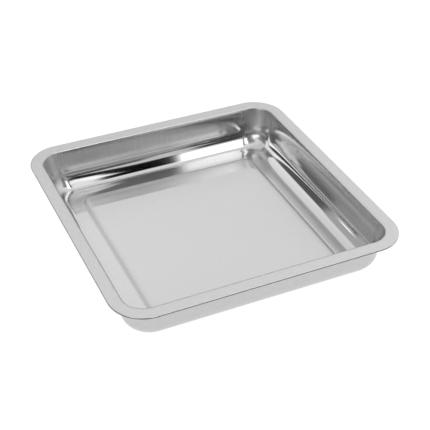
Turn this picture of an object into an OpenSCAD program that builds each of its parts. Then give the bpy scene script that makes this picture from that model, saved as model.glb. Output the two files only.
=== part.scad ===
// Shallow square counting tray, drawn from one blank of thin stainless sheet.
// The sheet is followed along its middle plane, from the cut edge hidden under the rim, round the
// rolled edge, across the flat rim, down the wall, round the bottom fillet, across the channel and
// up the step to the raised panel. Every level of it is a square with round corners.
// Origin: centre of the face it stands on. Z is up, X and Y run along the sides.

/* [Overall] */
// Outer side of the square rim
tray_side = 250; // [200:5:320]
// Height from the face it stands on to the top of the rim
tray_height = 37.5; // [30:0.5:60]
// Thickness of the sheet
sheet = 0.6; // [0.4:0.05:1.0]

/* [Rim] */
// Width of the rim, from its outer edge to where the wall's inner face would meet its top
rim_width = 11.1; // [9:0.1:16]
// Outer corner radius of the rim
rim_corner_r = 29; // [20:1:45]
// Radius of the bend from the rim into the wall, on the upper face
mouth_bend_r = 1.5; // [1.1:0.1:3]
// How far the edge of the sheet is folded back under the rim
hem_length = 4.5; // [3:0.1:7]
// Gap left between the rim and the edge folded under it
hem_gap = 0.4; // [0.2:0.05:0.8]

/* [Wall] */
// Lean of the wall just above the bottom fillet, in degrees from upright
foot_lean = 1.15; // [0.5:0.05:4]
// Lean of the wall just below the rim, where it flares out into the bend
mouth_lean = 21.3; // [12:0.1:30]
// Corner radius of the pan where the wall meets the bottom fillet, on the inner face
foot_corner_r = 21; // [17:0.5:30]
// Radius of the fillet between wall and floor, on the inner face
fillet_r = 15.6; // [6:0.2:20]

/* [Floor] */
// Corner radius of the floor where the bottom fillet ends
floor_corner_r = 10; // [6:0.5:18]
// Width of the flat channel between the bottom fillet and the step of the panel
channel_width = 10; // [6:0.2:20]
// Height of the raised panel above the channel
step_rise = 1.5; // [0.8:0.1:3]
// Slope of the step, in degrees from level
step_slope = 27; // [20:1:50]
// Radius of the two small bends of the step, on the middle plane of the sheet
step_bend_r = 1; // [0.6:0.1:1.6]
// Corner radius of the raised panel
panel_corner_r = 5.6; // [3:0.2:12]
// Rise of the middle of the panel above its edge
panel_crown = 0.3; // [0.05:0.05:1]

/* [Smoothness] */
// Facets along the arc of one corner
corner_steps = 10; // [6:1:12]
// Facets round the bottom fillet
fillet_steps = 9; // [6:1:12]

/* [Hidden] */

hem_steps = 6;
mouth_steps = 5;
wall_steps = 7;
channel_steps = 2;
step_bend_steps = 2;
panel_steps = 4;
panel_last = 0.12;  // the flat middle of the panel, as a share of the panel's half side

half_sheet = sheet / 2;
half_side = tray_side / 2;

// Radii on the middle plane of the sheet
hem_r = half_sheet + hem_gap / 2;
mouth_r = mouth_bend_r - half_sheet;
bowl_r = fillet_r + half_sheet;

// Heights on the middle plane of the sheet
rim_z = tray_height - half_sheet;
hem_z = rim_z - 2 * hem_r;
floor_z = half_sheet;
panel_z = floor_z + step_rise;

// The bend at the mouth
mouth_x = half_side - rim_width + mouth_bend_r * tan(45 - mouth_lean / 2);
mouth_centre = [mouth_x, rim_z - mouth_r];
wall_top = mouth_centre + mouth_r * [-cos(mouth_lean), sin(mouth_lean)];

// The wall, with t from 0 at the mouth to 1 at the foot: the tangent of its lean falls with the
// fourth power of 1 - t, so nearly all of the flare is in its upper part
foot_z = floor_z + bowl_r * (1 - sin(foot_lean));
wall_drop = wall_top[1] - foot_z;
flare = tan(mouth_lean) - tan(foot_lean);
function wall_x(t) = wall_top[0] - wall_drop * (tan(foot_lean) * t + flare * (1 - pow(1 - t, 5)) / 5);
function wall_lean(t) = atan(tan(foot_lean) + flare * pow(1 - t, 4));

// The fillet at the foot of the wall
foot_x = wall_x(1);
bowl_centre = [foot_x - bowl_r * cos(foot_lean), floor_z + bowl_r];

// The step: two bends joined by a short straight slope
step_foot_x = bowl_centre[0] - channel_width;
slope_length = (step_rise - 2 * step_bend_r * (1 - cos(step_slope))) / sin(step_slope);
step_run = 2 * step_bend_r * sin(step_slope) + slope_length * cos(step_slope);
panel_x = step_foot_x - step_run;

// Distance of the corner arcs' centres from the middle lines, at each level that sets a radius
rim_k = half_side - rim_corner_r;
foot_k = foot_x - half_sheet - foot_corner_r;
floor_k = bowl_centre[0] - floor_corner_r;
panel_k = panel_x - panel_corner_r;

function ease(t) = t * t * (3 - 2 * t);
function mix(a, b, t) = a + (b - a) * t;

// One station of the sheet: [x, z, direction of the outer or upper face's normal, corner centre]
function on_arc(centre, r, side, angle, k) =
    [centre[0] + r * cos(angle), centre[1] + r * sin(angle), angle + (side > 0 ? 0 : 180), k];
function arc_stations(centre, r, side, a0, a1, k0, k1, steps) =
    [for (i = [0:steps]) let (t = i / steps)
        on_arc(centre, r, side, mix(a0, a1, t), mix(k0, k1, ease(t)))];

hem = concat(
    [[half_side - hem_length, hem_z, -90, rim_k]],
    arc_stations([half_side - half_sheet - hem_r, rim_z - hem_r], hem_r, 1, -90, 90,
        rim_k, rim_k, hem_steps));
mouth = arc_stations(mouth_centre, mouth_r, 1, 90, 180 - mouth_lean, rim_k, rim_k, mouth_steps);
wall = [for (i = [1:wall_steps - 1]) let (t = i / wall_steps)
    [wall_x(t), mix(wall_top[1], foot_z, t), 180 - wall_lean(t), mix(rim_k, foot_k, ease(t))]];
bowl = arc_stations(bowl_centre, bowl_r, -1, -foot_lean, -90, foot_k, floor_k, fillet_steps);
channel = [for (i = [1:channel_steps - 1]) let (t = i / channel_steps)
    [mix(bowl_centre[0], step_foot_x, t), floor_z, 90, mix(floor_k, panel_k, ease(t))]];
step = concat(
    arc_stations([step_foot_x, floor_z + step_bend_r], step_bend_r, -1, -90, -90 - step_slope,
        panel_k, panel_k, step_bend_steps),
    arc_stations([panel_x, panel_z - step_bend_r], step_bend_r, 1, 90 - step_slope, 90,
        panel_k, panel_k, step_bend_steps));
panel = [for (i = [1:panel_steps]) let (t = mix(1, panel_last, i / panel_steps))
    [panel_x * t, panel_z + panel_crown * (1 - t * t), 90, panel_k * t]];

stations = concat(hem, mouth, wall, bowl, channel, step, panel);
last = len(stations) - 1;

// A ring of the skin on one side of the sheet: [half side, height, corner centre]
function skin(s, side) =
    [s[0] + side * half_sheet * cos(s[2]), s[1] + side * half_sheet * sin(s[2]), s[3]];
rings = concat(
    [for (i = [last:-1:0]) skin(stations[i], 1)],
    [for (i = [0:last]) skin(stations[i], -1)]);

// The points of one ring: four arcs about the corner centres, counter-clockwise from +X
function ring_points(ring) =
    [for (q = [0:3], i = [0:corner_steps]) let (a = 90 * (q + i / corner_steps), m = 90 * q + 45)
        [ring[2] * sign(cos(m)) + (ring[0] - ring[2]) * cos(a),
         ring[2] * sign(sin(m)) + (ring[0] - ring[2]) * sin(a),
         ring[1]]];

ring_n = 4 * (corner_steps + 1);

// The tray: one drawn sheet with its edge folded under
module tray_pressing() {
    points = [for (ring = rings) each ring_points(ring)];
    sides = [for (r = [0:len(rings) - 2], j = [0:ring_n - 1])
        let (a = r * ring_n + j, b = r * ring_n + (j + 1) % ring_n)
            each [[a, b, b + ring_n], [a, b + ring_n, a + ring_n]]];
    top_cap = [for (j = [ring_n - 1:-1:0]) j];
    under_cap = [for (j = [0:ring_n - 1]) (len(rings) - 1) * ring_n + j];
    color([0.78, 0.79, 0.80]) polyhedron(points, concat([top_cap, under_cap], sides));
}

tray_pressing();
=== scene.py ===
"""Looks of a shallow square counting tray, one drawn sheet of stainless steel.

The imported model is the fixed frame. The tray's sheet is made again here as a fine, smooth surface
of the same form, so that its mirror finish reflects without facets, and it is dressed with a
polished pan, a brushed rim and a satin outside. A pale floor, a studio dome and a camera go round it.
"""

import logging
import math
from dataclasses import dataclass, field
from enum import Enum

import bpy
import numpy as np
from mathutils import Matrix, Vector


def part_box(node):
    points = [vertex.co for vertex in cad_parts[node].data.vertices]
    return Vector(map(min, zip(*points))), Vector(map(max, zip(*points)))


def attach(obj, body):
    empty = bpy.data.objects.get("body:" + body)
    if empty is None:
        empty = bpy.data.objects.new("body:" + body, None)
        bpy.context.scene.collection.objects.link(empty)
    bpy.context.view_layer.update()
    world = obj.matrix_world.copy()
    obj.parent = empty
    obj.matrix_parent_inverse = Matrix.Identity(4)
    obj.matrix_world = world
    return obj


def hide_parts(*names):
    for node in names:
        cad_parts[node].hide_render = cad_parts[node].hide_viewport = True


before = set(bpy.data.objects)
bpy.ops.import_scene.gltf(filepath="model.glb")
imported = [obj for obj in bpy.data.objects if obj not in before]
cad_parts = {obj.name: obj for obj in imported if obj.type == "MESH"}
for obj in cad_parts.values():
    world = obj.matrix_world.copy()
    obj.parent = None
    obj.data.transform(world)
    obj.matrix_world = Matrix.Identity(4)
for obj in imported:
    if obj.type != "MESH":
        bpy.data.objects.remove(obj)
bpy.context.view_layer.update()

MM = 0.001
TRAY_NODE = "tray_pressing"

log = logging.getLogger("counting_tray")


class Face(Enum):
    """The two faces of the sheet, as the side of its middle plane that they lie on."""

    INNER = 1
    OUTER = -1


def ease(t: np.ndarray) -> np.ndarray:
    """Smooth step from 0 to 1: 3 t squared minus 2 t cubed."""
    return t * t * (3.0 - 2.0 * t)


def ramp(count: int, start: float, end: float) -> np.ndarray:
    """Smooth step over evenly spaced stations.

    Args:
        count: how many stations, the first at 0 and the last at 1.
        start: where the step leaves 0.
        end: where it reaches 1.

    Returns:
        The step's value at each station.
    """
    share = (np.linspace(0.0, 1.0, count) - start) / (end - start)
    return ease(np.clip(share, 0.0, 1.0))


# ---------------------------------------------------------------- shader maths


class Signal:
    """One output socket of a shader tree, with the operators that shader maths is written in."""

    def __init__(self, shader: "Shader", socket: bpy.types.NodeSocket) -> None:
        """Wraps a socket.

        Args:
            shader: the tree that the socket is in.
            socket: the output that carries the value.
        """
        self.shader = shader
        self.socket = socket

    def math(self, operation: str, *values: "float | Signal") -> "Signal":
        """One Math node.

        Args:
            operation: the Math node's operation.
            values: its inputs, in order.

        Returns:
            The node's result.
        """
        inputs = dict(enumerate(values))
        return self.shader.add("ShaderNodeMath", {"operation": operation}, inputs)

    def __add__(self, other: "float | Signal") -> "Signal":
        """The sum."""
        return self.math("ADD", self, other)

    def __radd__(self, other: float) -> "Signal":
        """The sum, with the number first."""
        return self.math("ADD", other, self)

    def __sub__(self, other: "float | Signal") -> "Signal":
        """The difference."""
        return self.math("SUBTRACT", self, other)

    def __rsub__(self, other: float) -> "Signal":
        """The difference, with the number first."""
        return self.math("SUBTRACT", other, self)

    def __mul__(self, other: "float | Signal") -> "Signal":
        """The product."""
        return self.math("MULTIPLY", self, other)

    def __rmul__(self, other: float) -> "Signal":
        """The product, with the number first."""
        return self.math("MULTIPLY", other, self)

    def band(self, low: float, high: float) -> "Signal":
        """A smooth step of this value from 0 at low to 1 at high.

        Args:
            low: where the step starts.
            high: where it ends; below low, the step falls.

        Returns:
            The step, from 0 to 1.
        """
        if low > high:
            return 1.0 - self.band(high, low)
        settings = {"interpolation_type": "SMOOTHSTEP"}
        inputs = {"Value": self, "From Min": low, "From Max": high}
        return self.shader.add("ShaderNodeMapRange", settings, inputs)


class Shader:
    """A shader tree that nodes are added to."""

    def __init__(self, tree: bpy.types.NodeTree) -> None:
        """Empties the tree.

        Args:
            tree: the node tree of a material or of the world.
        """
        self.tree = tree
        tree.nodes.clear()

    def node(self, kind: str, settings: dict | None = None,
             inputs: dict | None = None) -> bpy.types.Node:
        """Adds any node.

        Args:
            kind: the node's type.
            settings: its settings, which are set first.
            inputs: values or signals for its sockets, by name or number.

        Returns:
            The node.
        """
        made = self.tree.nodes.new(kind)
        for name, value in (settings or {}).items():
            setattr(made, name, value)
        for key, value in (inputs or {}).items():
            if isinstance(value, Signal):
                self.tree.links.new(value.socket, made.inputs[key])
            else:
                made.inputs[key].default_value = value
        return made

    def add(self, kind: str, settings: dict | None = None, inputs: dict | None = None,
            output: int | str = 0) -> Signal:
        """Adds a node and gives one of its outputs.

        Args:
            kind: the node's type.
            settings: its settings.
            inputs: values or signals for its sockets.
            output: which output to give.

        Returns:
            That output.
        """
        return Signal(self, self.node(kind, settings, inputs).outputs[output])

    def noise(self, place: Signal, scale: float, detail: float = 2.0, rough: float = 0.5) -> Signal:
        """Cloudy noise from 0 to 1, about 0.5 on average.

        Args:
            place: the point that it is read at.
            scale: cells per unit of place.
            detail: octaves of finer noise.
            rough: strength of each octave against the last.

        Returns:
            The noise.
        """
        inputs = {"Vector": place, "Scale": scale, "Detail": detail, "Roughness": rough}
        return self.add("ShaderNodeTexNoise", {}, inputs)

    def stretched(self, place: Signal, along: float, across: float) -> Signal:
        """A point with its parts scaled, so that noise read there is drawn out into lines.

        Args:
            place: the point.
            along: scale of its first part.
            across: scale of its second part.

        Returns:
            The scaled point.
        """
        return self.add("ShaderNodeMapping", {}, {"Vector": place, "Scale": (along, across, 1.0)})


# ---------------------------------------------------------------- the sheet


@dataclass(frozen=True)
class Stretch:
    """One stretch of the sheet's profile: arrays of x, z, normal x, normal z and corner centre."""

    x: np.ndarray
    z: np.ndarray
    nx: np.ndarray
    nz: np.ndarray
    k: np.ndarray


@dataclass
class TrayPressing:
    """The tray's one drawn sheet, in metres and degrees.

    Every level of the sheet is a square with round corners. At each station of the profile, x is the
    middle plane's half side, z its height, (nx, nz) the normal of its inner face, and k the
    distance of the corner arcs' centres from the middle lines.
    """

    half_side: float
    height: float
    sheet: float = 0.6 * MM
    rim_width: float = 11.1 * MM
    rim_corner: float = 29.0 * MM
    mouth_bend: float = 1.5 * MM
    hem_length: float = 4.5 * MM
    hem_gap: float = 0.4 * MM
    foot_lean: float = 1.15
    mouth_lean: float = 21.3
    foot_corner: float = 21.0 * MM
    fillet: float = 15.6 * MM
    floor_corner: float = 10.0 * MM
    channel_width: float = 10.0 * MM
    step_rise: float = 1.5 * MM
    step_slope: float = 27.0
    step_bend: float = 1.0 * MM
    panel_corner: float = 5.6 * MM
    panel_crown: float = 0.3 * MM
    corner_points: int = 28
    side_points: int = 36
    fold_points: int = 3
    bend_points: int = 15
    rim_points: int = 9
    wall_points: int = 24
    bowl_points: int = 29
    channel_points: int = 8
    step_points: int = 6
    panel_points: int = 24
    bright_share: float = 0.72
    drawn_share: float = 0.60
    fold_end: tuple[float, float] = (0.55, 0.75)
    channel_haze: float = 0.75
    step_haze: float = 2.0
    name: str = "tray_sheet"

    @staticmethod
    def arc(centre: tuple[float, float], radius: float, side: int, start: float, end: float,
            k0: float, k1: float, count: int) -> Stretch:
        """An arc of the profile: centre + radius (cos a, sin a) for a from start to end.

        Args:
            centre: the arc's centre, as x and z.
            radius: its radius on the middle plane.
            side: 1 where the inner face is on the outside of the arc, -1 where it is inside.
            start: first angle, in degrees.
            end: last angle, in degrees.
            k0: corner centre at the start.
            k1: corner centre at the end.
            count: how many stations.

        Returns:
            The stretch.
        """
        t = np.linspace(0.0, 1.0, count)
        a = np.radians(start + (end - start) * t)
        k = k0 + (k1 - k0) * ease(t)
        return Stretch(centre[0] + radius * np.cos(a), centre[1] + radius * np.sin(a),
                       side * np.cos(a), side * np.sin(a), k)

    @staticmethod
    def line(a: tuple[float, float, float], b: tuple[float, float, float], normal: float,
             count: int) -> Stretch:
        """A straight stretch between two stations, without the stations themselves.

        Args:
            a: first station, as x, z and corner centre.
            b: last station.
            normal: direction of the inner face's normal, in degrees.
            count: how many stations between them.

        Returns:
            The stretch: each part goes from a to b, x and z evenly and the corner centre eased.
        """
        t = np.linspace(0.0, 1.0, count + 2)[1:-1]
        n = math.radians(normal)
        return Stretch(a[0] + (b[0] - a[0]) * t, a[1] + (b[1] - a[1]) * t,
                       np.full(count, math.cos(n)), np.full(count, math.sin(n)),
                       a[2] + (b[2] - a[2]) * ease(t))

    @staticmethod
    def flare(top: tuple[float, float, float], foot_z: float, foot_tan: float, mouth_tan: float,
              count: int) -> Stretch:
        """The wall, which leans out more and more towards the mouth.

        Args:
            top: its upper end, as x, z and corner centre.
            foot_z: height of its lower end.
            foot_tan: tangent of its lean at the foot.
            mouth_tan: tangent of its lean at the mouth.
            count: how many stations, with both ends.

        Returns:
            The stretch. With t from 0 at the mouth to 1 at the foot, the tangent of the lean is
            foot + (mouth - foot) (1 - t) to the fourth, and x is its integral.
        """
        t = np.linspace(0.0, 1.0, count)
        height = top[1] - foot_z
        extra = mouth_tan - foot_tan
        lean = np.arctan(foot_tan + extra * (1.0 - t) ** 4)
        x = top[0] - height * (foot_tan * t + extra * (1.0 - (1.0 - t) ** 5) / 5.0)
        return Stretch(x, top[1] - height * t, -np.cos(lean), np.sin(lean), np.full(count, top[2]))

    def profile(self) -> tuple[Stretch, dict[str, slice]]:
        """The whole profile, from the cut edge under the rim to the middle of the panel.

        Returns:
            The stations as one stretch, and where each named stretch lies in it.
        """
        half = self.sheet / 2
        foot_tan, mouth_tan = (math.tan(math.radians(a)) for a in (self.foot_lean, self.mouth_lean))
        top, low = math.radians(self.mouth_lean), math.radians(self.foot_lean)
        slope = math.radians(self.step_slope)
        hem_r = half + self.hem_gap / 2
        mouth_r = self.mouth_bend - half
        bowl_r = self.fillet + half
        rim_z = self.height - half
        panel_z = half + self.step_rise
        rim_k = self.half_side - self.rim_corner

        hem_x = self.half_side - half - hem_r
        mouth_x = self.half_side - self.rim_width + self.mouth_bend * math.tan(math.pi / 4 - top / 2)
        mouth_z = rim_z - mouth_r
        wall_x = mouth_x - mouth_r * math.cos(top)
        wall_z = mouth_z + mouth_r * math.sin(top)
        foot_z = half + bowl_r * (1 - math.sin(low))
        wall = self.flare((wall_x, wall_z, rim_k), foot_z, foot_tan, mouth_tan, self.wall_points)
        foot_x = wall.x[-1]
        bowl_x = foot_x - bowl_r * math.cos(low)
        step_x = bowl_x - self.channel_width
        slope_length = (self.step_rise - 2 * self.step_bend * (1 - math.cos(slope))) / math.sin(slope)
        panel_x = step_x - 2 * self.step_bend * math.sin(slope) - slope_length * math.cos(slope)
        foot_k = foot_x - half - self.foot_corner
        floor_k = bowl_x - self.floor_corner
        panel_k = panel_x - self.panel_corner

        under_z = rim_z - 2 * hem_r
        shares = np.linspace(1.0, 0.0, self.panel_points + 2)[1:-1]
        parts = {
            "hem": Stretch(np.array([self.half_side - self.hem_length]), np.array([under_z]),
                           np.array([0.0]), np.array([-1.0]), np.array([rim_k])),
            "fold": self.line((self.half_side - self.hem_length, under_z, rim_k),
                              (hem_x, under_z, rim_k), -90.0, self.fold_points),
            "edge": self.arc((hem_x, rim_z - hem_r), hem_r, 1, -90.0, 90.0, rim_k, rim_k,
                             self.bend_points),
            "rim": self.line((hem_x, rim_z, rim_k), (mouth_x, rim_z, rim_k), 90.0, self.rim_points),
            "mouth": self.arc((mouth_x, mouth_z), mouth_r, 1, 90.0, 180.0 - self.mouth_lean, rim_k,
                              rim_k, self.bend_points),
            "wall": Stretch(wall.x[1:-1], wall.z[1:-1], wall.nx[1:-1], wall.nz[1:-1],
                            rim_k + (foot_k - rim_k) * ramp(self.wall_points, 0.0, 1.0)[1:-1]),
            "bowl": self.arc((bowl_x, half + bowl_r), bowl_r, -1, -self.foot_lean, -90.0,
                             foot_k, floor_k, self.bowl_points),
            "channel": self.line((bowl_x, half, floor_k), (step_x, half, panel_k), 90.0,
                                 self.channel_points),
            "rise": self.arc((step_x, half + self.step_bend), self.step_bend, -1, -90.0,
                             -90.0 - self.step_slope, panel_k, panel_k, self.step_points),
            "crest": self.arc((panel_x, panel_z - self.step_bend), self.step_bend, 1,
                              90.0 - self.step_slope, 90.0, panel_k, panel_k, self.step_points),
            "panel": Stretch(panel_x * shares, np.full_like(shares, panel_z), np.zeros_like(shares),
                             np.ones_like(shares), panel_k * shares),
        }
        places, start = {}, 0
        for name, part in parts.items():
            places[name] = slice(start, start + len(part.x))
            start += len(part.x)
        joined = [np.concatenate([getattr(part, name) for part in parts.values()])
                  for name in ("x", "z", "nx", "nz", "k")]
        return Stretch(*joined), places

    def ring(self) -> tuple[np.ndarray, np.ndarray]:
        """The shape shared by all rings: a point lies at k C + (half side - k) D.

        Returns:
            C, the corner or side that each point belongs to, and D, the direction in which it is
            carried out from there. Corners turn D through 90 degrees, and sides slide C along.
        """
        turn = np.radians(np.linspace(0.0, 90.0, self.corner_points))
        slide = np.linspace(1.0, -1.0, self.side_points + 2)[1:-1]
        corner_d = np.column_stack([np.cos(turn), np.sin(turn)])
        corner_c = np.ones_like(corner_d)
        side_c = np.column_stack([slide, np.ones_like(slide)])
        side_d = np.column_stack([np.zeros_like(slide), np.ones_like(slide)])
        quarter_c = np.vstack([corner_c, side_c])
        quarter_d = np.vstack([corner_d, side_d])
        turns = [np.array([[math.cos(a), math.sin(a)], [-math.sin(a), math.cos(a)]])
                 for a in np.radians([0.0, 90.0, 180.0, 270.0])]
        return np.vstack([quarter_c @ t for t in turns]), np.vstack([quarter_d @ t for t in turns])

    def skin(self, stations: Stretch, panel_half: float, face: Face) -> np.ndarray:
        """One face of the sheet, as a grid of points, stations by ring points.

        Args:
            stations: the profile.
            panel_half: half side of the raised panel.
            face: which face.

        Returns:
            The points: the middle plane moved half a sheet along the normal, with the panel's crown
            raised as the product of two parabolas that are zero at the panel's edge.
        """
        c, d = self.ring()
        offset = face.value * self.sheet / 2
        half = (stations.x + offset * stations.nx)[:, None, None]
        k = stations.k[:, None, None]
        flat = k * c + (half - k) * d
        z = np.broadcast_to((stations.z + offset * stations.nz)[:, None], flat.shape[:2]).copy()
        u, v = flat[..., 0] / panel_half, flat[..., 1] / panel_half
        inside = np.clip(1 - u * u, 0, None) * np.clip(1 - v * v, 0, None)
        on_panel = (stations.x < panel_half)[:, None]
        z += np.where(on_panel, self.panel_crown * inside, 0.0)
        return np.dstack([flat, z])

    def masks(self, stations: Stretch,
              places: dict[str, slice]) -> dict[str, tuple[np.ndarray, np.ndarray]]:
        """Where each finish lies, as strengths at the stations, 0 where it is absent.

        Args:
            stations: the profile.
            places: where each named stretch lies in it.

        Returns:
            For each mask, its values on the inner and on the outer face. "satin" covers the rim and
            the outside. "haze" covers the floor, which keeps the mill finish, less in the channel
            and most on the step. "drawn" covers the upper wall, where the die has left its marks.
            "fold" covers the underside of the folded edge, where painted shade darkens the metal, and
            "outside" the whole outer face, which painted shade makes a little darker than the rim.
        """
        count = len(stations.x)
        whole = np.ones(count)
        satin, haze, drawn, fold = (np.zeros(count) for _ in range(4))
        satin[:places["mouth"].start] = 1.0
        satin[places["mouth"]] = 1.0 - ease(np.linspace(0.0, 1.0, self.bend_points))
        edge = places["edge"]
        # The fold mask marks where shade is painted: the underside of the folded edge.
        fold[:edge.start] = 1.0
        fold[edge] = 1.0 - ramp(self.bend_points, *self.fold_end)
        bowl = places["bowl"]
        haze[bowl] = self.channel_haze * ramp(bowl.stop - bowl.start, self.bright_share, 1.0)
        haze[places["channel"]] = self.channel_haze
        haze[places["rise"].start:places["crest"].stop] = self.step_haze
        haze[places["panel"]] = 1.0
        wall = places["wall"]
        drawn[wall] = 1.0 - ramp(wall.stop - wall.start, self.drawn_share, 1.0)
        drawn[places["mouth"]] = 1.0
        none = 0.0 * whole
        # The outside mask marks where shade is painted: the whole outer face.
        return {"satin": (satin, whole), "haze": (haze, none), "drawn": (drawn, none),
                "fold": (fold, none), "outside": (none, whole)}

    def build(self) -> bpy.types.Object:
        """Makes the sheet as one closed mesh with its UV map and its masks.

        Returns:
            The object. Rings run from the middle of the inner face, over the rim to the cut edge,
            and back along the outer face; each end is closed by one face. The UV map is in metres:
            along the rim's outline, and along the profile.
        """
        stations, places = self.profile()
        panel_half = stations.x[places["crest"]][-1]
        inner = self.skin(stations, panel_half, Face.INNER)[::-1]
        outer = self.skin(stations, panel_half, Face.OUTER)
        grid = np.concatenate([inner, outer])
        rows, cols = grid.shape[:2]
        r, j = np.meshgrid(np.arange(rows - 1), np.arange(cols), indexing="ij")
        a, b = r * cols + j, r * cols + (j + 1) % cols
        quads = np.stack([a, a + cols, b + cols, b], axis=-1).reshape(-1, 4)
        caps = [list(range(cols)), [(rows - 1) * cols + i for i in range(cols - 1, -1, -1)]]

        mesh = bpy.data.meshes.new(self.name)
        mesh.from_pydata(grid.reshape(-1, 3).tolist(), [], quads.tolist() + caps)
        mesh.polygons.foreach_set("use_smooth", np.ones(len(mesh.polygons), bool))

        rim = grid[rows // 2 - 1, :, :2]
        steps = np.linalg.norm(np.roll(rim, -1, axis=0) - rim, axis=1)
        along = np.concatenate([[0.0], np.cumsum(steps)])
        travel = np.linalg.norm(np.diff(grid[:, 0], axis=0), axis=1)
        down = np.concatenate([[0.0], np.cumsum(travel)])
        uv = np.zeros((len(mesh.loops), 2))
        turns = ((0, 0), (0, 1), (1, 1), (1, 0))
        corners = np.stack([np.stack([along[j + a], down[r + d]], -1) for a, d in turns], axis=-2)
        uv[:len(quads) * 4] = corners.reshape(-1, 2)
        layer = mesh.uv_layers.new(name="sheet_uv")
        layer.data.foreach_set("uv", uv.ravel().astype(np.float32))

        for name, (inner_mask, outer_mask) in self.masks(stations, places).items():
            values = np.concatenate([inner_mask[::-1], outer_mask])
            layer = mesh.attributes.new(name, "FLOAT", "POINT")
            layer.data.foreach_set("value", np.repeat(values, cols).astype(np.float32))
        mesh.update()
        mesh.validate()
        piece = bpy.data.objects.new(self.name, mesh)
        bpy.context.scene.collection.objects.link(piece)
        return piece


# ---------------------------------------------------------------- finishes


@dataclass(frozen=True)
class StainlessFinish:
    """Stainless steel: bright on the drawn walls, hazy on the floor, brushed on the rim and outside."""

    colour: tuple[float, float, float, float] = (0.66, 0.66, 0.66, 1.0)
    bright_rough: float = 0.045
    satin_rough: float = 0.32
    haze_rough: float = 0.50
    haze_share: float = 0.42
    # Painted light: a small raise of the tone on the hazy floor.
    haze_painted_light: float = 0.02
    # Painted shade under the folded edge, as the share of the tone taken away.
    fold_painted_shade: float = 0.85
    # Painted shade over the whole outer face, as the share of the tone taken away.
    outside_painted_shade: float = 0.15
    corner_rough: float = 0.16
    drawn_rough: float = 0.15
    corner_haze: float = 0.85
    corner_from: float = 80.0 * MM
    corner_to: float = 104.0 * MM
    grain_scale: tuple[float, float] = (140.0, 2200.0)
    mark_scale: tuple[float, float] = (700.0, 12.0)
    cloud_scale: float = 35.0
    rough_by_grain: float = 0.12
    rough_by_marks: float = 0.20
    tone_by_grain: float = 0.55
    tone_by_marks: float = 0.50
    tone_by_clouds: float = 0.03
    haze_by_clouds: float = 0.20
    bump_strength: float = 0.35
    bump_depth: float = 0.02 * MM
    mark_height: float = 2.0

    def material(self, name: str) -> bpy.types.Material:
        """Makes the material.

        Args:
            name: the material's name.

        Returns:
            The material. The sheet's masks set where it is bright, satin, drawn or hazy. Fine
            brushing lines run along the rim and the outside, and drawing marks run down the wall, as
            bump and as small changes of roughness and tone. A second, broader lobe is mixed in where
            the sheet is hazy, and in the corners, where both level distances from the middle are
            large. The tone is 1 on bare bright steel; half of it mixes black with twice the colour.
        """
        made = bpy.data.materials.new(name)
        made.use_nodes = True
        shader = Shader(made.node_tree)
        satin, haze, drawn, fold, outside = (
            shader.add("ShaderNodeAttribute", {"attribute_name": mask}, {}, "Fac")
            for mask in ("satin", "haze", "drawn", "fold", "outside"))
        uv = shader.add("ShaderNodeUVMap", {"uv_map": "sheet_uv"})
        place = shader.add("ShaderNodeTexCoord", {}, {}, "Object")

        lines = shader.noise(shader.stretched(uv, *self.grain_scale), 1.0, 3.0, 0.6)
        marks = shader.noise(shader.stretched(uv, *self.mark_scale), 1.0, 2.0, 0.6)
        clouds = shader.noise(place, self.cloud_scale)
        parts = shader.node("ShaderNodeSeparateXYZ", {}, {0: place})
        x, y = (Signal(shader, parts.outputs[i]) for i in range(2))
        nearer = x.math("MINIMUM", x.math("ABSOLUTE", x), y.math("ABSOLUTE", y))
        corner = nearer.band(self.corner_from, self.corner_to) * (1.0 - satin)

        grain, streak, cloud = lines - 0.5, marks - 0.5, clouds - 0.5
        rough = (self.bright_rough
                 + satin * (self.satin_rough - self.bright_rough + grain * self.rough_by_grain)
                 + drawn * (self.drawn_rough + streak * self.rough_by_marks)
                 + corner * self.corner_rough)
        # Painted shade lowers the tone under the folded edge and over the whole outer face; painted
        # light raises it a little on the hazy floor.
        tone = ((1.0 + grain * satin * self.tone_by_grain + streak * drawn * self.tone_by_marks
                 + cloud * self.tone_by_clouds + haze * self.haze_painted_light)
                * (1.0 - fold * self.fold_painted_shade - outside * self.outside_painted_shade))
        white = tuple(2 * c for c in self.colour[:3]) + (1.0,)
        colour = shader.add("ShaderNodeMix", {"data_type": "RGBA"},
                            {0: tone * 0.5, 6: (0.0, 0.0, 0.0, 1.0), 7: white}, 2)
        height = lines * satin + marks * drawn * self.mark_height
        bump = shader.add("ShaderNodeBump", {}, {"Strength": self.bump_strength,
                                                 "Distance": self.bump_depth, "Height": height})
        bright = shader.add("ShaderNodeBsdfPrincipled", {},
                            {"Base Color": colour, "Metallic": 1.0, "Roughness": rough, "Normal": bump})
        broad = shader.add("ShaderNodeBsdfPrincipled", {},
                           {"Base Color": colour, "Metallic": 1.0, "Roughness": self.haze_rough})
        spread = haze.math("MAXIMUM", haze, corner * self.corner_haze)
        share = spread * (self.haze_share + cloud * self.haze_by_clouds)
        steel = shader.add("ShaderNodeMixShader", {}, {0: share, 1: bright, 2: broad})
        shader.node("ShaderNodeOutputMaterial", {}, {"Surface": steel})
        return made


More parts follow.
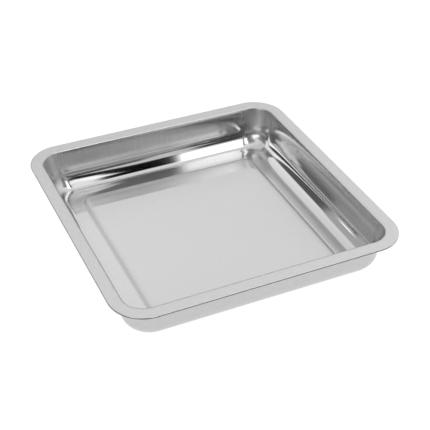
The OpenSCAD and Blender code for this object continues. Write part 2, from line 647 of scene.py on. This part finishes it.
@dataclass(frozen=True)
class FloorFinish:
    """Plain pale studio floor, lit from within so that it stays even, with a painted contact shadow
    under the tray.
    """

    colour: tuple[float, float, float, float] = (0.10, 0.10, 0.10, 1.0)
    shade: tuple[float, float, float, float] = (0.02, 0.02, 0.02, 1.0)
    glow: float = 0.96
    shade_centre: float = 86.0 * MM
    shade_from: float = 11.0 * MM
    shade_to: float = 16.0 * MM

    def material(self, name: str) -> bpy.types.Material:
        """Makes the material.

        Args:
            name: the material's name.

        Returns:
            The material. Its glow falls away under the tray's foot as a painted contact shadow, inside
            a
            square with round corners: the distance outside a smaller, sharp square is taken for the
                band.
        """
        made = bpy.data.materials.new(name)
        made.use_nodes = True
        shader = Shader(made.node_tree)
        place = shader.add("ShaderNodeTexCoord", {}, {}, "Object")
        parts = shader.node("ShaderNodeSeparateXYZ", {}, {0: place})
        x, y = (Signal(shader, parts.outputs[i]) for i in range(2))
        over = [v.math("MAXIMUM", v.math("ABSOLUTE", v) - self.shade_centre, 0.0) for v in (x, y)]
        out = over[0].math("SQRT", over[0] * over[0] + over[1] * over[1])
        # Painted contact shadow: the floor's glow drops to the shade colour under the tray's foot.
        glow = shader.add("ShaderNodeMix", {"data_type": "RGBA"},
                          {0: out.band(self.shade_from, self.shade_to),
                           6: self.shade, 7: (1.0, 1.0, 1.0, 1.0)}, 2)
        paint = shader.node("ShaderNodeBsdfPrincipled", {},
                            {"Base Color": self.colour, "Roughness": 0.9, "Specular IOR Level": 0.0,
                             "Emission Color": glow, "Emission Strength": self.glow})
        shader.node("ShaderNodeOutputMaterial", {}, {"Surface": Signal(shader, paint.outputs[0])})
        return made


# ---------------------------------------------------------------- studio


class Axis(Enum):
    """The level axis that a patch of the dome is laid out about."""

    ACROSS = "x"
    ALONG = "y"


@dataclass(frozen=True)
class Patch:
    """A soft-edged patch of the studio dome, bright as a softbox or dark as a flag, in degrees.

    aside is the angle off the plane square to the axis. swing is the angle about the axis, from the
    front horizon (or from the left one) over the top. lean is how far the patch shifts aside for each
    degree of swing above its middle.
    """

    axis: Axis
    aside: tuple[float, float]
    swing: tuple[float, float]
    level: float
    lean: float = 0.0
    soft_aside: float = 0.8
    soft_swing: float = 5.0

    def inside(self, x: Signal, y: Signal, z: Signal) -> Signal:
        """How far a direction lies inside the patch.

        Args:
            x: first part of the direction.
            y: second part.
            z: third part.

        Returns:
            A value from 0 outside to 1 inside.
        """
        main, flat = (x, y) if self.axis is Axis.ACROSS else (y, x)
        degree = 180.0 / math.pi
        swing = z.math("ARCTAN2", z, flat * -1.0) * degree
        aside = main.math("ARCSINE", main) * degree
        if self.lean:
            aside = aside - (swing - sum(self.swing) / 2) * self.lean
        a, s = self.soft_aside / 2, self.soft_swing / 2
        return (aside.band(self.aside[0] - a, self.aside[0] + a)
                * aside.band(self.aside[1] + a, self.aside[1] - a)
                * swing.band(self.swing[0] - s, self.swing[0] + s)
                * swing.band(self.swing[1] + s, self.swing[1] - s))


@dataclass(frozen=True)
class StudioDome:
    """The light of the studio, as a dome that is brighter overhead, with softboxes and flags.

    A patch lies over those before it.
    """

    low: float = 0.55
    high: float = 1.12
    rise: tuple[float, float] = (5.0, 45.0)
    backdrop: float = 1.0
    patches: tuple[Patch, ...] = (
        Patch(Axis.ACROSS, (-70.0, 70.0), (95.0, 134.0), 0.86, soft_aside=10.0, soft_swing=14.0),
        Patch(Axis.ACROSS, (21.0, 80.0), (105.0, 200.0), 1.02, soft_aside=14.0, soft_swing=20.0),
        Patch(Axis.ACROSS, (-60.0, 70.0), (157.0, 190.0), 0.06, soft_aside=10.0, soft_swing=8.0),
        Patch(Axis.ACROSS, (-40.0, 60.0), (-5.0, 26.0), 0.75, soft_aside=12.0, soft_swing=14.0),
        Patch(Axis.ALONG, (-80.0, 36.0), (-10.0, 44.0), 0.12, soft_aside=10.0, soft_swing=8.0),
        Patch(Axis.ACROSS, (-60.0, -26.0), (28.0, 55.0), 2.2, soft_aside=4.0, soft_swing=8.0),
        Patch(Axis.ACROSS, (-24.0, 9.0), (14.0, 80.0), 0.10, soft_aside=4.0, soft_swing=8.0),
        Patch(Axis.ACROSS, (1.0, 9.0), (38.0, 76.0), 3.5, soft_aside=1.5, soft_swing=6.0),
        Patch(Axis.ACROSS, (-40.0, 17.6), (-8.0, 15.0), 0.02, soft_aside=2.0, soft_swing=6.0),
        Patch(Axis.ACROSS, (17.8, 25.0), (-8.0, 9.0), 1.0, soft_aside=1.5, soft_swing=5.0),
        Patch(Axis.ACROSS, (19.4, 26.0), (38.0, 90.0), 2.4, soft_aside=0.8, soft_swing=8.0),
        Patch(Axis.ACROSS, (29.0, 42.0), (-5.0, 80.0), 0.10, soft_aside=4.0, soft_swing=8.0),
        Patch(Axis.ACROSS, (14.6, 19.25), (32.0, 86.0), 0.0, soft_aside=0.8, soft_swing=9.0),
        Patch(Axis.ACROSS, (11.5, 15.5), (12.0, 42.0), 0.02, lean=0.20, soft_aside=1.2, soft_swing=6.0),
        Patch(Axis.ACROSS, (13.4, 15.0), (42.0, 64.0), 1.5, lean=0.07, soft_aside=0.7, soft_swing=8.0),
        Patch(Axis.ACROSS, (20.3, 26.0), (13.0, 28.0), 0.05, soft_aside=1.0, soft_swing=6.0),
        Patch(Axis.ALONG, (36.0, 42.2), (4.0, 64.0), 0.52, soft_aside=0.8, soft_swing=8.0),
        Patch(Axis.ALONG, (42.2, 46.6), (4.0, 58.0), 0.12, soft_aside=0.8, soft_swing=8.0),
        Patch(Axis.ALONG, (40.3, 41.3), (17.0, 25.0), 1.6, soft_aside=0.5, soft_swing=4.0),
    )

    def build(self) -> None:
        """Sets the scene's world: the dome lights the tray, and the camera sees a plain backdrop."""
        world = bpy.data.worlds.new("studio")
        bpy.context.scene.world = world
        world.use_nodes = True
        shader = Shader(world.node_tree)
        ray = shader.add("ShaderNodeTexCoord", {}, {}, "Generated")
        parts = shader.node("ShaderNodeSeparateXYZ", {}, {0: ray})
        x, y, z = (Signal(shader, parts.outputs[i]) for i in range(3))
        elevation = z.math("ARCSINE", z) * (180.0 / math.pi)
        level = self.low + (self.high - self.low) * elevation.band(*self.rise)
        for patch in self.patches:
            level = level + patch.inside(x, y, z) * (patch.level - level)
        seen = shader.add("ShaderNodeLightPath", {}, {}, "Is Camera Ray")
        shown = level + seen * (self.backdrop - level)
        light = shader.add("ShaderNodeBackground", {},
                           {"Color": (1.0, 1.0, 1.0, 1.0), "Strength": shown})
        shader.node("ShaderNodeOutputWorld", {}, {"Surface": light})


@dataclass(frozen=True)
class StudioFloor:
    """The floor that the tray stands on."""

    reach: float = 4.0
    finish: FloorFinish = field(default_factory=FloorFinish)

    def build(self) -> bpy.types.Object:
        """Makes the floor: one flat square at height 0.

        Returns:
            The floor.
        """
        r = self.reach
        mesh = bpy.data.meshes.new("floor")
        mesh.from_pydata([(-r, -r, 0.0), (r, -r, 0.0), (r, r, 0.0), (-r, r, 0.0)], [], [(0, 1, 2, 3)])
        mesh.materials.append(self.finish.material("pale_floor"))
        floor = bpy.data.objects.new("floor", mesh)
        bpy.context.scene.collection.objects.link(floor)
        return floor


@dataclass(frozen=True)
class StudioCamera:
    """The camera, placed from the middle of the rim's top."""

    lens: float = 83.29
    turn: float = 23.80
    elevation: float = 36.68
    distance: float = 0.8480
    aside: float = -0.01709
    above: float = -0.01774
    slide: float = 0.0673

    def build(self, rim_height: float) -> bpy.types.Object:
        """Makes the camera and sets it as the scene's.

        Args:
            rim_height: height of the rim's top, in metres.

        Returns:
            The camera. It looks along the direction that turn and elevation give, from its distance
            off a point that lies aside and above the middle of the rim, as the picture plane sees it.
        """
        turn, up = math.radians(self.turn), math.radians(self.elevation)
        right = Vector((math.cos(turn), -math.sin(turn), 0.0))
        back = Vector((-math.cos(up) * math.sin(turn), -math.cos(up) * math.cos(turn), math.sin(up)))
        top = back.cross(right)
        data = bpy.data.cameras.new("camera")
        data.lens = self.lens
        data.sensor_width = 36.0
        data.shift_x = self.slide
        data.clip_start = 0.01
        camera = bpy.data.objects.new("camera", data)
        middle = Vector((0.0, 0.0, rim_height))
        place = middle + right * self.aside + top * self.above + back * self.distance
        turned = Matrix((right, top, back)).transposed().to_4x4()
        camera.matrix_world = Matrix.Translation(place) @ turned
        bpy.context.scene.collection.objects.link(camera)
        bpy.context.scene.camera = camera
        return camera


def main() -> None:
    """Builds the tray and the studio."""
    logging.basicConfig(level=logging.INFO, format="%(name)s: %(message)s")
    bpy.context.scene.view_settings.view_transform = "Standard"
    low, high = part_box(TRAY_NODE)

    tray = TrayPressing(half_side=high.x, height=high.z)
    piece = tray.build()
    piece.data.materials.append(StainlessFinish().material("stainless_sheet"))
    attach(piece, "root")
    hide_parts(TRAY_NODE)
    log.info("%s: %d faces", piece.name, len(piece.data.polygons))

    StudioFloor().build()
    StudioDome().build()
    StudioCamera().build(high.z)

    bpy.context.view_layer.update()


if __name__ == "__main__":
    main()
